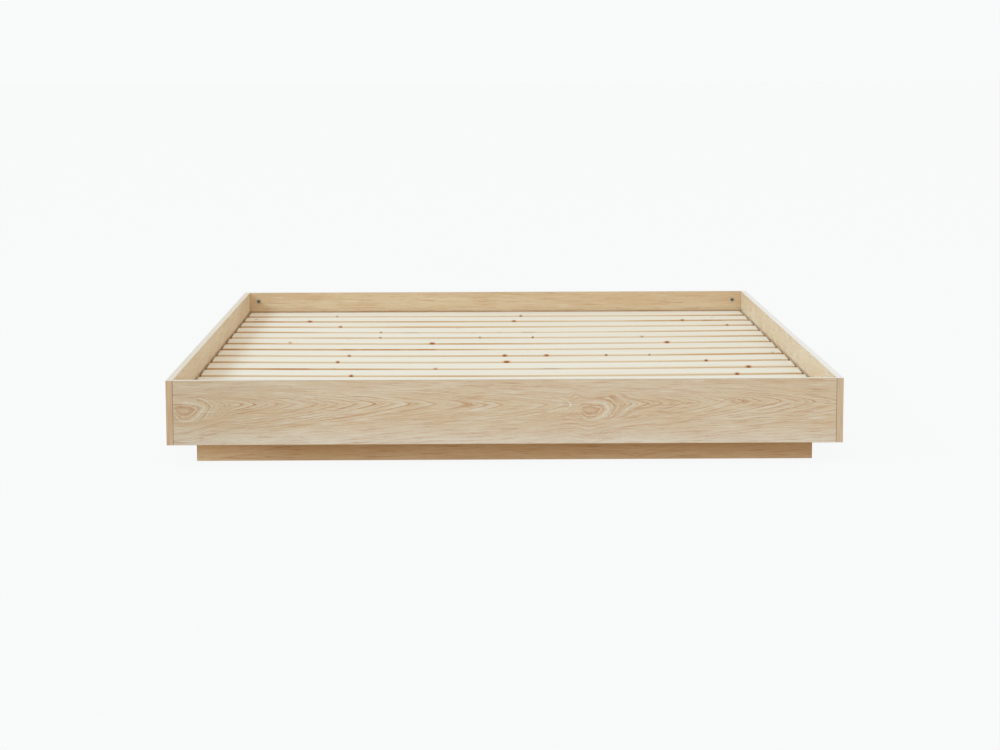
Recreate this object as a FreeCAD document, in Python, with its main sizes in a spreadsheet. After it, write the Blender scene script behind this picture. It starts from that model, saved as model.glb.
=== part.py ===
import FreeCAD, Part

import os

import Sketcher

# Low wooden platform bed for a 1530 x 2030 mm mattress: four foil-covered rails around a bed of
# pine slats, on a plinth that stands back from the rails on all sides.
# +X is the bed's right side, seen from the foot end; +Y points to the head end; +Z is up.
# The origin is on the floor, under the middle of the bed. All sizes are in millimetres.

SIZES = [
    ("frame_width", 1580, "outside, across the side rails"),
    ("frame_length", 2070, "outside, along the side rails"),
    ("frame_height", 200, "floor to the top of the rails"),
    ("rail_height", 152, "rail with its two edge bands"),
    ("board", 15, "thickness of every foil-covered board"),
    ("band", 1, "thickness of the edge band"),
    ("plinth_side_inset", 63, "side rail's outer face to the plinth"),
    ("plinth_end_inset", 65, "head or foot rail's outer face to the plinth"),
    ("end_drop", 3, "slat undersides down to the plinth's end boards"),
    ("centre_drop", 4, "slat undersides down to the centre board"),
    ("slat_drop", 62, "rail tops down to the slat tops"),
    ("slat_thick", 18, "slat thickness"),
    ("slat_width", 99, "slat width"),
    ("slat_end_gap", 5, "slat end to the side rail"),
    ("slat_margin", 6, "first or last slat to the end rail"),
    ("slat_round", 2.5, "rounding of the slat's edges"),
    ("ledger_height", 30, "height of the ledgers and battens"),
    ("ledger_pitch", 310, "spacing of the screws along ledgers and battens"),
    ("block_side", 30, "width of a plinth corner block"),
    ("block_height", 100, "height of a plinth corner block"),
    ("block_outer_screw", 30, "corner block's middle to its outer screws"),
    ("block_inner_screw", 10, "corner block's middle to its inner screws"),
    ("cam_inset", 28, "cam axis to the side rail's inner face"),
    ("cam_spread", 49, "cam axis above or below the rail's middle"),
    ("cam_bore", 15, "diameter of the cam's bore"),
    ("cam_bore_depth", 12.5, "depth of the cam's bore"),
    ("cam_diameter", 14.88, "outside diameter of the cam"),
    ("cam_height", 12.3, "height of the cam"),
    ("cam_edge", 0.4, "chamfer round the cam's face"),
    ("cam_cavity", 9.2, "diameter of the hollow that turns round the bolt head"),
    ("cam_cavity_height", 6.6, "height of that hollow"),
    ("cam_cavity_shift", 0.6, "how far that hollow is off the cam's axis"),
    ("cam_window", 6.2, "diameter of the hole that lets the bolt head in"),
    ("cam_slot", 3.4, "height of the slot that the bolt's neck runs in"),
    ("cam_cross_length", 7.4, "length of each arm pair of the cross recess"),
    ("cam_cross_width", 1.7, "width of the cross recess"),
    ("cam_cross_depth", 3, "depth of the cross recess"),
    ("bolt_head", 5.6, "diameter of the cam bolt's head"),
    ("bolt_neck", 2.8, "diameter of the cam bolt's neck"),
    ("bolt_shank", 6.8, "diameter of the cam bolt's shank"),
    ("bolt_thread", 6, "outside diameter of the cam bolt's thread"),
    ("bolt_thread_root", 4.6, "root diameter of the cam bolt's thread"),
    ("bolt_thread_length", 9, "length of the cam bolt's thread"),
    ("bolt_head_back", 0.8, "bolt head behind the cam's axis"),
    ("bolt_head_front", 2.2, "bolt head in front of the cam's axis"),
    ("bolt_neck_end", 7.8, "cam's axis to the end of the bolt's neck"),
    ("bolt_bore", 7, "diameter of the bore in the rail's end"),
    ("bolt_bore_depth", 24, "depth of the bore in the rail's end"),
    ("dowel", 8, "dowel diameter"),
    ("dowel_length", 30, "dowel length"),
    ("dowel_in_side", 10, "dowel length that sits in the side rail"),
    ("dowel_taper", 1.5, "length of the dowel's tapered tip"),
    ("dowel_tip", 1, "how much the tip's radius shrinks"),
    ("dowel_spread", 24, "dowel above or below the rail's middle"),
    ("fit_gap", 0.1, "added to the diameter and depth of a hole for its dowel or screw"),
    ("screw", 4, "wood screw diameter"),
    ("screw_head", 8, "wood screw head diameter"),
    ("screw_tip", 4, "length of the wood screw's point"),
    ("long_screw", 60, "length of the screws through ledgers and battens"),
    ("short_screw", 40, "length of the screws through plinth boards and corner blocks"),
    ("bracket_leg", 40, "length of the angle bracket's leg"),
    ("bracket_width", 30, "width of the angle bracket"),
    ("bracket_thick", 2, "thickness of the angle bracket"),
    ("bracket_near_hole", 14, "bracket's corner to its nearer hole"),
    ("bracket_far_hole", 31, "bracket's corner to its further hole"),
    ("bracket_screw", 3.5, "bracket screw diameter"),
    ("bracket_screw_head", 7, "bracket screw head diameter"),
    ("bracket_screw_length", 13, "bracket screw length under its head"),
    ("bracket_screw_tip", 3, "length of the bracket screw's point"),
    ("pan_height", 2, "height of the bracket screw's head"),
    ("pan_rim", 0.8, "height of that head's straight rim"),
    ("pan_crown", 1, "how much that head's radius shrinks towards its top"),
    ("tape_width", 25, "width of the webbing tape under the slats"),
    ("tape_thick", 1, "thickness of the webbing tape"),
    ("tape_station", 400, "bed's middle to the webbing tape"),
    ("staple_crown", 10, "width of a staple"),
    ("staple_leg", 9, "height of a staple"),
    ("staple_wire", 1, "thickness of a staple's wire"),
]

# Lengths that follow from the cells.
HALF_WIDTH = "Sizes.frame_width / 2"
HALF_LENGTH = "Sizes.frame_length / 2"
INNER_X = "(Sizes.frame_width / 2 - Sizes.board)"
INNER_Y = "(Sizes.frame_length / 2 - Sizes.board)"
RAIL_MIDDLE = "(Sizes.frame_height - Sizes.rail_height / 2)"
CORE_HEIGHT = "(Sizes.rail_height - 2 * Sizes.band)"
SLAT_BASE = "(Sizes.frame_height - Sizes.slat_drop - Sizes.slat_thick)"
PLINTH_X = "(Sizes.frame_width / 2 - Sizes.plinth_side_inset)"
PLINTH_Y = "(Sizes.frame_length / 2 - Sizes.plinth_end_inset)"
LEDGER_WIDTH = f"({INNER_X} - {PLINTH_X})"
BATTEN_WIDTH = f"({INNER_Y} - {PLINTH_Y})"
END_BOARD_HEIGHT = f"({SLAT_BASE} - Sizes.end_drop)"
CENTRE_BOARD_HEIGHT = f"({SLAT_BASE} - Sizes.centre_drop)"
CORNER_X = f"({PLINTH_X} - Sizes.board)"
CORNER_Y = f"({PLINTH_Y} - Sizes.board)"
SCREW_HOLE = "(Sizes.screw + Sizes.fit_gap)"
SCREW_HEAD_HOLE = "(Sizes.screw_head + Sizes.fit_gap)"
BRACKET_HOLES = ["Sizes.bracket_near_hole", "Sizes.bracket_far_hole"]
BRACKET_HOLE = "(Sizes.bracket_screw + Sizes.fit_gap)"
BRACKET_PILOT_DEPTH = "Sizes.bracket_screw_length - Sizes.bracket_thick + Sizes.fit_gap"

SLAT_COUNT = 15
LEDGER_SCREWS = 7
BATTEN_SCREWS = 5
THREAD_RIDGES = 5
SLOT_SWEEP = 232  # degrees of the cam's wall that its neck slot runs round
COUNTERSINK = 90  # degrees across a wood screw's countersink
ROUGH_PITCH = 20  # where a sketch's circles start, before their dimensions place them
ROUGH_RADIUS = 2
TOLERANCE = 0.1

X_AXIS = FreeCAD.Vector(1, 0, 0)
Y_AXIS = FreeCAD.Vector(0, 1, 0)
Z_AXIS = FreeCAD.Vector(0, 0, 1)
UNTURNED = FreeCAD.Rotation()
HALF_TURN = FreeCAD.Rotation(Z_AXIS, 180)

# Turns a fastener that points down (-Z) so that it points the way its name says.
POINTING = {
    "+X": FreeCAD.Rotation(Y_AXIS, -90),
    "-X": FreeCAD.Rotation(Y_AXIS, 90),
    "+Y": FreeCAD.Rotation(X_AXIS, 90),
    "-Y": FreeCAD.Rotation(X_AXIS, -90),
}

doc = FreeCAD.newDocument("platform_bed")
nodes = []


# ---- the sheet and small helpers ----

def fill_sheet():
    """Put every driving dimension in the sheet, with its name and what it measures."""
    sheet = doc.addObject("Spreadsheet::Sheet", "Sizes")
    for row, (name, value, meaning) in enumerate(SIZES, start=1):
        sheet.set(f"A{row}", name)
        sheet.set(f"B{row}", str(value))
        sheet.setAlias(f"B{row}", name)
        sheet.set(f"C{row}", meaning)
    doc.recompute()
    return sheet


def place(thing, x="0", y="0", z="0", turn=UNTURNED):
    """Turn a thing and bind its place to the sheet."""
    thing.Placement = FreeCAD.Placement(FreeCAD.Vector(), turn)
    for letter, expression in zip("xyz", (x, y, z)):
        thing.setExpression(f"Placement.Base.{letter}", expression)


def keep(thing, label):
    """Name a finished sub-part and list it for writing."""
    thing.Label = label
    nodes.append(thing)
    return thing


def origin_plane(body, role):
    """One of a body's own origin planes or axes."""
    return next(item for item in body.Origin.OriginFeatures if item.Role == role)


def sketch_on(body, name, role, offset="0"):
    """A sketch on an origin plane, moved along the plane's normal."""
    sketch = body.newObject("Sketcher::SketchObject", name)
    sketch.AttachmentSupport = [(origin_plane(body, role), "")]
    sketch.MapMode = "FlatFace"
    sketch.setExpression("AttachmentOffset.Base.z", offset)
    return sketch


def bind(sketch, kind, *target, to):
    """Add a dimension to a sketch and bind it to an expression."""
    index = sketch.addConstraint(Sketcher.Constraint(kind, *target))
    sketch.setExpression(f"Constraints[{index}]", to)


def draw_outline(sketch, corners):
    """Draw a closed outline; each corner is a rough place and the expressions that fix it."""
    count = len(corners)
    points = [FreeCAD.Vector(rough_x, rough_y, 0) for rough_x, rough_y, _, _ in corners]
    for index in range(count):
        sketch.addGeometry(Part.LineSegment(points[index], points[(index + 1) % count]), False)
    for index in range(count):
        sketch.addConstraint(Sketcher.Constraint("Coincident", index, 2, (index + 1) % count, 1))
    for index, (rough_x, rough_y, x, y) in enumerate(corners):
        bind(sketch, "DistanceX", -1, 1, index, 1, rough_x, to=x)
        bind(sketch, "DistanceY", -1, 1, index, 1, rough_y, to=y)


def draw_rectangle(sketch, width, height, x="0", y="0"):
    """Draw a rectangle with its middle at x, y."""
    draw_outline(sketch, [
        (-1, -1, f"{x} - {width} / 2", f"{y} - {height} / 2"),
        (1, -1, f"{x} + {width} / 2", f"{y} - {height} / 2"),
        (1, 1, f"{x} + {width} / 2", f"{y} + {height} / 2"),
        (-1, 1, f"{x} - {width} / 2", f"{y} + {height} / 2"),
    ])


def draw_circles(sketch, centres, diameter):
    """Draw one circle at each centre."""
    for index, (x, y) in enumerate(centres):
        rough_x = ROUGH_PITCH * index
        circle = Part.Circle(FreeCAD.Vector(rough_x, 0, 0), Z_AXIS, ROUGH_RADIUS)
        sketch.addGeometry(circle, False)
        bind(sketch, "Diameter", index, 2 * ROUGH_RADIUS, to=diameter)
        bind(sketch, "DistanceX", -1, 1, index, 3, rough_x, to=x)
        bind(sketch, "DistanceY", -1, 1, index, 3, 0, to=y)


def centred_block(width, depth, height):
    """A body that is a rectangular block with its middle at the body's origin."""
    body = doc.addObject("PartDesign::Body", "Body")
    outline = sketch_on(body, "Outline", "XY_Plane")
    draw_rectangle(outline, width, depth)
    pad = body.newObject("PartDesign::Pad", "Block")
    pad.Profile = outline
    pad.Midplane = True
    pad.setExpression("Length", height)
    doc.recompute()
    return body


def cuts(body, before, least):
    """Stop if a cut took away less than it must."""
    doc.recompute()
    removed = before - body.Shape.Volume
    if removed < least:
        raise RuntimeError(f"{body.Name}: a cut removed {removed:.1f} mm3, not {least:.1f}")


# Which origin plane a face lies on, and whether a cut into that face has to be reversed.
FACES = {"-X": ("YZ_Plane", -1, True), "+X": ("YZ_Plane", 1, False),
         "-Y": ("XZ_Plane", 1, False), "+Y": ("XZ_Plane", -1, True)}


def drill(body, name, face, reach, centres, diameter, depth):
    """Drill blind holes into a face that lies `reach` from the body's middle."""
    role, side, reverse = FACES[face]
    before = body.Shape.Volume
    sketch = sketch_on(body, name, role, f"{side} * {reach}")
    draw_circles(sketch, centres, diameter)
    pocket = body.newObject("PartDesign::Pocket", f"{name}Cut")
    pocket.Profile = sketch
    pocket.Reversed = reverse
    pocket.setExpression("Length", depth)
    cuts(body, before, len(centres))
    return pocket


def countersink(body, name, face, reach, centres):
    """Drill through holes for wood screws, each with a countersink in the face."""
    role, side, reverse = FACES[face]
    before = body.Shape.Volume
    sketch = sketch_on(body, name, role, f"{side} * {reach}")
    draw_circles(sketch, centres, SCREW_HOLE)
    hole = body.newObject("PartDesign::Hole", f"{name}Hole")
    hole.Profile = sketch
    doc.recompute()
    hole.Reversed = reverse
    hole.DepthType = "ThroughAll"
    hole.setExpression("Diameter", SCREW_HOLE)
    hole.HoleCutType = "Countersink"
    hole.HoleCutCustomValues = True
    hole.HoleCutCountersinkAngle = COUNTERSINK
    hole.setExpression("HoleCutDiameter", SCREW_HEAD_HOLE)
    cuts(body, before, len(centres))
    return hole


def mirror(body, features, role):
    """Repeat features on the other side of an origin plane."""
    before = body.Shape.Volume
    mirrored = body.newObject("PartDesign::Mirrored", "OtherSide")
    mirrored.Originals = features
    mirrored.MirrorPlane = (origin_plane(body, role), [""])
    body.Tip = mirrored
    cuts(body, before, len(features))


def stations(count, pitch="Sizes.ledger_pitch"):
    """Evenly spaced places on both sides of zero."""
    return [f"({index - (count - 1) / 2} * {pitch})" for index in range(count)]


def group(label, template, places):
    """One node of many identical fasteners; each place is x, y, z and the fastener's turn."""
    copies = []
    for x, y, z, turn in places:
        copy = doc.addObject("App::Link", f"{template.Name}Copy")
        copy.LinkedObject = template
        place(copy, x, y, z, turn)
        copies.append(copy)
    compound = doc.addObject("Part::Compound", "Group")
    compound.Links = copies
    return keep(compound, label)


# ---- rails ----

def end_rail(label, side):
    """Head or foot rail, between the side rails; as drawn, its inner face looks to -Y."""
    rail = centred_block(f"2 * {INNER_X}", "Sizes.board", CORE_HEIGHT)
    half_board = "Sizes.board / 2"
    cam_x = f"({INNER_X} - Sizes.cam_inset)"
    heights = ["Sizes.cam_spread", "-Sizes.cam_spread"]
    cams = drill(rail, "CamBores", "-Y", half_board, [(cam_x, z) for z in heights],
                 "Sizes.cam_bore", "Sizes.cam_bore_depth")
    bolts = drill(rail, "BoltBores", "+X", INNER_X, [("0", z) for z in heights],
                  "Sizes.bolt_bore", "Sizes.bolt_bore_depth")
    dowel_heights = ["Sizes.dowel_spread", "-Sizes.dowel_spread"]
    dowels = drill(rail, "DowelBores", "+X", INNER_X, [("0", z) for z in dowel_heights],
                   "Sizes.dowel + Sizes.fit_gap",
                   "Sizes.dowel_length - Sizes.dowel_in_side + Sizes.fit_gap")
    mirror(rail, [cams, bolts, dowels], "YZ_Plane")
    batten_z = f"({END_BOARD_HEIGHT} - Sizes.ledger_height / 2 - {RAIL_MIDDLE})"
    drill(rail, "ScrewPilots", "-Y", half_board, [(x, batten_z) for x in stations(BATTEN_SCREWS)],
          SCREW_HOLE, f"Sizes.long_screw - {BATTEN_WIDTH} + Sizes.fit_gap")
    turn = UNTURNED if side > 0 else HALF_TURN
    place(rail, y=f"{side} * ({HALF_LENGTH} - Sizes.board / 2)", z=RAIL_MIDDLE, turn=turn)
    keep(rail, label)


def side_rail(label, side):
    """Left or right rail, over the whole length; as drawn, its inner face looks to -X."""
    rail = centred_block("Sizes.board", "(Sizes.frame_length - 2 * Sizes.band)", CORE_HEIGHT)
    half_board = "Sizes.board / 2"
    joint_y = f"({HALF_LENGTH} - Sizes.board / 2)"
    bolts = drill(rail, "BoltPilots", "-X", half_board,
                  [(joint_y, "Sizes.cam_spread"), (joint_y, "-Sizes.cam_spread")],
                  "Sizes.bolt_thread + Sizes.fit_gap", "Sizes.bolt_thread_length + Sizes.fit_gap")
    dowels = drill(rail, "DowelBores", "-X", half_board,
                   [(joint_y, "Sizes.dowel_spread"), (joint_y, "-Sizes.dowel_spread")],
                   "Sizes.dowel + Sizes.fit_gap", "Sizes.dowel_in_side + Sizes.fit_gap")
    mirror(rail, [bolts, dowels], "XZ_Plane")
    ledger_z = f"({SLAT_BASE} - Sizes.ledger_height / 2 - {RAIL_MIDDLE})"
    drill(rail, "ScrewPilots", "-X", half_board, [(y, ledger_z) for y in stations(LEDGER_SCREWS)],
          SCREW_HOLE, f"Sizes.long_screw - {LEDGER_WIDTH} + Sizes.fit_gap")
    turn = UNTURNED if side > 0 else HALF_TURN
    place(rail, x=f"{side} * ({HALF_WIDTH} - Sizes.board / 2)", z=RAIL_MIDDLE, turn=turn)
    keep(rail, label)


def strip(length, width, height, x, y, z):
    """One straight strip of edge band, with its lowest corner at x, y, z."""
    box = doc.addObject("Part::Box", "Strip")
    box.setExpression("Length", length)
    box.setExpression("Width", width)
    box.setExpression("Height", height)
    place(box, x, y, z)
    return box


def edge_bands(label, strips):
    """All the strips of one rail's edge band."""
    compound = doc.addObject("Part::Compound", "Bands")
    compound.Links = strips
    keep(compound, label)


def end_rail_bands(label, side):
    """Bands on the top and bottom edges of the head or foot rail."""
    y = f"{side} * ({HALF_LENGTH} - Sizes.board / 2) - Sizes.board / 2"
    levels = ["Sizes.frame_height - Sizes.band", "Sizes.frame_height - Sizes.rail_height"]
    edge_bands(label, [strip(f"2 * {INNER_X}", "Sizes.board", "Sizes.band", f"-{INNER_X}", y, z)
                       for z in levels])


def side_rail_bands(label, side):
    """Bands on the top and bottom edges and on both ends of a side rail."""
    x = f"{side} * ({HALF_WIDTH} - Sizes.board / 2) - Sizes.board / 2"
    base = "Sizes.frame_height - Sizes.rail_height"
    levels = ["Sizes.frame_height - Sizes.band", base]
    ends = [f"{HALF_LENGTH} - Sizes.band", f"-{HALF_LENGTH}"]
    strips = [strip("Sizes.board", "Sizes.frame_length", "Sizes.band", x, f"-{HALF_LENGTH}", z)
              for z in levels]
    strips += [strip("Sizes.board", "Sizes.band", CORE_HEIGHT, x, y, f"{base} + Sizes.band")
               for y in ends]
    edge_bands(label, strips)


# ---- corner joints of the rails ----

def cam(label, right, head, upper):
    """Cam lock: a drum whose eccentric hollow draws the bolt head in as the drum turns.

    As drawn, the face with the cross recess looks to +Z and the bolt comes in from +X, the
    locked position. Half a turn anticlockwise brings the window round to the bolt head.
    """
    body = doc.addObject("PartDesign::Body", "Cam")
    rim = sketch_on(body, "Rim", "XY_Plane")
    draw_circles(rim, [("0", "0")], "Sizes.cam_diameter")
    drum = body.newObject("PartDesign::Pad", "Drum")
    drum.Profile = rim
    drum.Reversed = True
    drum.setExpression("Length", "Sizes.cam_height")
    doc.recompute()
    face_edge = next(number for number, edge in enumerate(drum.Shape.Edges, start=1)
                     if edge.Closed and abs(edge.CenterOfMass.z) < TOLERANCE)
    before = body.Shape.Volume
    bevel = body.newObject("PartDesign::Chamfer", "Bevel")
    bevel.Base = (drum, [f"Edge{face_edge}"])
    bevel.setExpression("Size", "Sizes.cam_edge")
    cuts(body, before, 1)

    bolt_depth = "Sizes.board / 2"
    before = body.Shape.Volume
    hollow = sketch_on(body, "Hollow", "XY_Plane", f"Sizes.cam_cavity_height / 2 - {bolt_depth}")
    draw_circles(hollow, [("-Sizes.cam_cavity_shift", "0")], "Sizes.cam_cavity")
    cavity = body.newObject("PartDesign::Pocket", "Cavity")
    cavity.Profile = hollow
    cavity.setExpression("Length", "Sizes.cam_cavity_height")
    cuts(body, before, 1)

    before = body.Shape.Volume
    section = sketch_on(body, "SlotSection", "YZ_Plane")
    slot_reach = "Sizes.cam_diameter * 3 / 8"
    draw_rectangle(section, slot_reach, "Sizes.cam_slot", x=f"-{slot_reach}", y=f"-{bolt_depth}")
    slot = body.newObject("PartDesign::Groove", "NeckSlot")
    slot.Profile = section
    slot.ReferenceAxis = (section, ["V_Axis"])
    slot.Angle = SLOT_SWEEP
    slot.Midplane = True
    cuts(body, before, 1)

    before = body.Shape.Volume
    mouth = sketch_on(body, "Mouth", "YZ_Plane", "-Sizes.cam_diameter / 2")
    draw_circles(mouth, [("0", f"-{bolt_depth}")], "Sizes.cam_window")
    window = body.newObject("PartDesign::Pocket", "Window")
    window.Profile = mouth
    window.Reversed = True
    window.setExpression("Length", "Sizes.cam_diameter / 2")
    cuts(body, before, 1)

    arms = [("Sizes.cam_cross_length", "Sizes.cam_cross_width"),
            ("Sizes.cam_cross_width", "Sizes.cam_cross_length")]
    for length, width in arms:
        before = body.Shape.Volume
        arm = sketch_on(body, "Arm", "XY_Plane")
        draw_rectangle(arm, length, width)
        recess = body.newObject("PartDesign::Pocket", "Recess")
        recess.Profile = arm
        recess.setExpression("Length", "Sizes.cam_cross_depth")
        cuts(body, before, 1)

    x, y, z, turn = corner_place(right, head, upper)
    place(body, x, f"{y} - {head} * Sizes.board / 2", z, turn)
    keep(body, label)


def corner_place(right, head, upper):
    """Where a cam's axis crosses its bolt's, and the turn that points +X at the side rail."""
    x = f"{right} * ({INNER_X} - Sizes.cam_inset)"
    y = f"{head} * ({HALF_LENGTH} - Sizes.board / 2)"
    z = f"{RAIL_MIDDLE} + {upper} * Sizes.cam_spread"
    turn = FreeCAD.Rotation(X_AXIS, 90)
    if right * head < 0:
        turn = turn * HALF_TURN
    if head < 0:
        turn = HALF_TURN * turn
    return x, y, z, turn


CORNERS = [(right, head, upper) for head in (1, -1) for right in (-1, 1) for upper in (1, -1)]


def corner_name(right, head, upper):
    """A cam's own name, from its corner and height."""
    end = "head" if head > 0 else "foot"
    hand = "right" if right > 0 else "left"
    level = "upper" if upper > 0 else "lower"
    return f"cam_{end}_{hand}_{level}"


def turned(name, corners, reference="H_Axis"):
    """A template body: an outline turned about one of its sketch's axes."""
    body = doc.addObject("PartDesign::Body", name)
    outline = sketch_on(body, "HalfSection", "XZ_Plane")
    draw_outline(outline, corners)
    revolution = body.newObject("PartDesign::Revolution", "Turned")
    revolution.Profile = outline
    revolution.ReferenceAxis = (outline, [reference])
    revolution.Angle = 360
    doc.recompute()
    return body


def cam_bolt():
    """Cam bolt along X: head, neck and shank, then a thread of ridges in the side rail."""
    head, neck = "Sizes.bolt_head / 2", "Sizes.bolt_neck / 2"
    shank, crest = "Sizes.bolt_shank / 2", "Sizes.bolt_thread / 2"
    root = "Sizes.bolt_thread_root / 2"
    corners = [(-1, 0, "-Sizes.bolt_head_back", "0"),
               (-1, 3, "-Sizes.bolt_head_back", head),
               (2, 3, "Sizes.bolt_head_front", head),
               (2, 1, "Sizes.bolt_head_front", neck),
               (8, 1, "Sizes.bolt_neck_end", neck),
               (8, 3.4, "Sizes.bolt_neck_end", shank),
               (28, 3.4, "Sizes.cam_inset", shank)]
    for ridge in range(THREAD_RIDGES):
        start = f"Sizes.cam_inset + {ridge} * Sizes.bolt_thread_length / {THREAD_RIDGES}"
        crest_x = f"{start} + Sizes.bolt_thread_length / {2 * THREAD_RIDGES}"
        corners.append((28 + 1.8 * ridge, 2.3, start, root))
        corners.append((28.9 + 1.8 * ridge, 3, crest_x, crest))
    tip = "Sizes.cam_inset + Sizes.bolt_thread_length"
    corners.append((37, 1.5, tip, neck))
    corners.append((37, 0, tip, "0"))
    return turned("CamBolt", corners)


def rail_dowel():
    """Dowel along X, its middle at the origin, with tapered ends."""
    half, radius = "Sizes.dowel_length / 2", "Sizes.dowel / 2"
    shoulder, tip = f"({half} - Sizes.dowel_taper)", f"{radius} - Sizes.dowel_tip"
    return turned("Dowel", [(-15, 0, f"-{half}", "0"),
                            (-15, 3, f"-{half}", tip),
                            (-13, 4, f"-{shoulder}", radius),
                            (13, 4, shoulder, radius),
                            (15, 3, half, tip),
                            (15, 0, half, "0")])


def corner_joints():
    """Cams, cam bolts and dowels of the four corners."""
    for corner in CORNERS:
        cam(corner_name(*corner), *corner)
    group("cam_bolts", cam_bolt(), [corner_place(*corner) for corner in CORNERS])
    dowel_x = f"({INNER_X} + Sizes.dowel_in_side - Sizes.dowel_length / 2)"
    group("rail_dowels", rail_dowel(),
          [(f"{right} * {dowel_x}", f"{head} * ({HALF_LENGTH} - Sizes.board / 2)",
            f"{RAIL_MIDDLE} + {upper} * Sizes.dowel_spread", UNTURNED)
           for right, head, upper in CORNERS])


# ---- ledgers and battens ----

def ledger(label, side):
    """Pine ledger between a side rail and the plinth; as drawn, the plinth is on its -X side."""
    body = centred_block(LEDGER_WIDTH, f"2 * {INNER_Y}", "Sizes.ledger_height")
    reach = f"{LEDGER_WIDTH} / 2"
    countersink(body, "RailScrews", "-X", reach, [(y, "0") for y in stations(LEDGER_SCREWS)])
    drill(body, "PlinthScrews", "-X", reach, [(y, "0") for y in stations(LEDGER_SCREWS - 1)],
          SCREW_HOLE, "Sizes.short_screw - Sizes.board + Sizes.fit_gap")
    turn = UNTURNED if side > 0 else HALF_TURN
    place(body, x=f"{side} * ({PLINTH_X} + {LEDGER_WIDTH} / 2)",
          z=f"{SLAT_BASE} - Sizes.ledger_height / 2", turn=turn)
    keep(body, label)


def batten(label, side):
    """Pine batten between an end rail and the plinth; as drawn, the plinth is on its -Y side."""
    body = centred_block(f"2 * {PLINTH_X}", BATTEN_WIDTH, "Sizes.ledger_height")
    reach = f"{BATTEN_WIDTH} / 2"
    countersink(body, "RailScrews", "-Y", reach, [(x, "0") for x in stations(BATTEN_SCREWS)])
    drill(body, "PlinthScrews", "-Y", reach, [(x, "0") for x in stations(BATTEN_SCREWS - 1)],
          SCREW_HOLE, "Sizes.short_screw - Sizes.board + Sizes.fit_gap")
    turn = UNTURNED if side > 0 else HALF_TURN
    place(body, y=f"{side} * ({PLINTH_Y} + {BATTEN_WIDTH} / 2)",
          z=f"{END_BOARD_HEIGHT} - Sizes.ledger_height / 2", turn=turn)
    keep(body, label)


# ---- plinth ----

def plinth_side(label, side):
    """Left or right board of the plinth; as drawn, its inner face looks to -X."""
    board = centred_block("Sizes.board", f"2 * {CORNER_Y}", SLAT_BASE)
    reach = "Sizes.board / 2"
    top_row = f"({SLAT_BASE} / 2 - Sizes.ledger_height / 2)"
    countersink(board, "LedgerScrews", "-X", reach,
                [(y, top_row) for y in stations(LEDGER_SCREWS - 1)])
    block_y = f"({CORNER_Y} - Sizes.block_side / 2)"
    drill(board, "BlockPilots", "-X", reach,
          [(f"{end} * {block_y}", f"{level} * Sizes.block_outer_screw")
           for end in (1, -1) for level in (1, -1)],
          SCREW_HOLE, "Sizes.short_screw - Sizes.block_side + Sizes.fit_gap")
    turn = UNTURNED if side > 0 else HALF_TURN
    place(board, x=f"{side} * ({PLINTH_X} - Sizes.board / 2)", z=f"{SLAT_BASE} / 2", turn=turn)
    keep(board, label)


def plinth_end(label, side):
    """Front or rear board of the plinth, over its whole width; as drawn, it looks in to -Y."""
    board = centred_block(f"2 * {PLINTH_X}", "Sizes.board", END_BOARD_HEIGHT)
    reach = "Sizes.board / 2"
    top_row = f"({END_BOARD_HEIGHT} / 2 - Sizes.ledger_height / 2)"
    countersink(board, "BattenScrews", "-Y", reach,
                [(x, top_row) for x in stations(BATTEN_SCREWS - 1)])
    block_x = f"({CORNER_X} - Sizes.block_side / 2)"
    drill(board, "BlockPilots", "-Y", reach,
          [(f"{hand} * {block_x}", f"Sizes.end_drop / 2 + {level} * Sizes.block_inner_screw")
           for hand in (1, -1) for level in (1, -1)],
          SCREW_HOLE, "Sizes.short_screw - Sizes.block_side + Sizes.fit_gap")
    drill(board, "BracketPilots", "-Y", reach,
          [(f"Sizes.board / 2 + {hole}", "0") for hole in BRACKET_HOLES],
          BRACKET_HOLE, BRACKET_PILOT_DEPTH)
    turn = UNTURNED if side > 0 else HALF_TURN
    place(board, y=f"{side} * ({PLINTH_Y} - Sizes.board / 2)", z=f"{END_BOARD_HEIGHT} / 2",
          turn=turn)
    keep(board, label)


def plinth_centre():
    """Board on edge along the middle of the plinth, held by a bracket at each end."""
    board = centred_block("Sizes.board", f"2 * {CORNER_Y}", CENTRE_BOARD_HEIGHT)
    rise = "(Sizes.centre_drop - Sizes.end_drop) / 2"
    for name, face, end in (("RearPilots", "+X", 1), ("FrontPilots", "-X", -1)):
        drill(board, name, face, "Sizes.board / 2",
              [(f"{end} * ({CORNER_Y} - {hole})", rise) for hole in BRACKET_HOLES],
              BRACKET_HOLE, BRACKET_PILOT_DEPTH)
    place(board, z=f"{CENTRE_BOARD_HEIGHT} / 2")
    keep(board, "plinth_centre")


def corner_block(label, right, head):
    """Pine block in a corner of the plinth; as drawn, its corner points to +X and +Y."""
    body = centred_block("Sizes.block_side", "Sizes.block_side", "Sizes.block_height")
    reach = "Sizes.block_side / 2"
    countersink(body, "SideScrews", "-X", reach,
                [("0", f"{level} * Sizes.block_outer_screw") for level in (1, -1)])
    countersink(body, "EndScrews", "-Y", reach,
                [("0", f"{level} * Sizes.block_inner_screw") for level in (1, -1)])
    turn = UNTURNED if head > 0 else HALF_TURN
    if right * head < 0:
        turn = turn * FreeCAD.Rotation(Y_AXIS, 180)
    place(body, f"{right} * ({CORNER_X} - Sizes.block_side / 2)",
          f"{head} * ({CORNER_Y} - Sizes.block_side / 2)", f"{SLAT_BASE} / 2", turn)
    keep(body, label)


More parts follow.
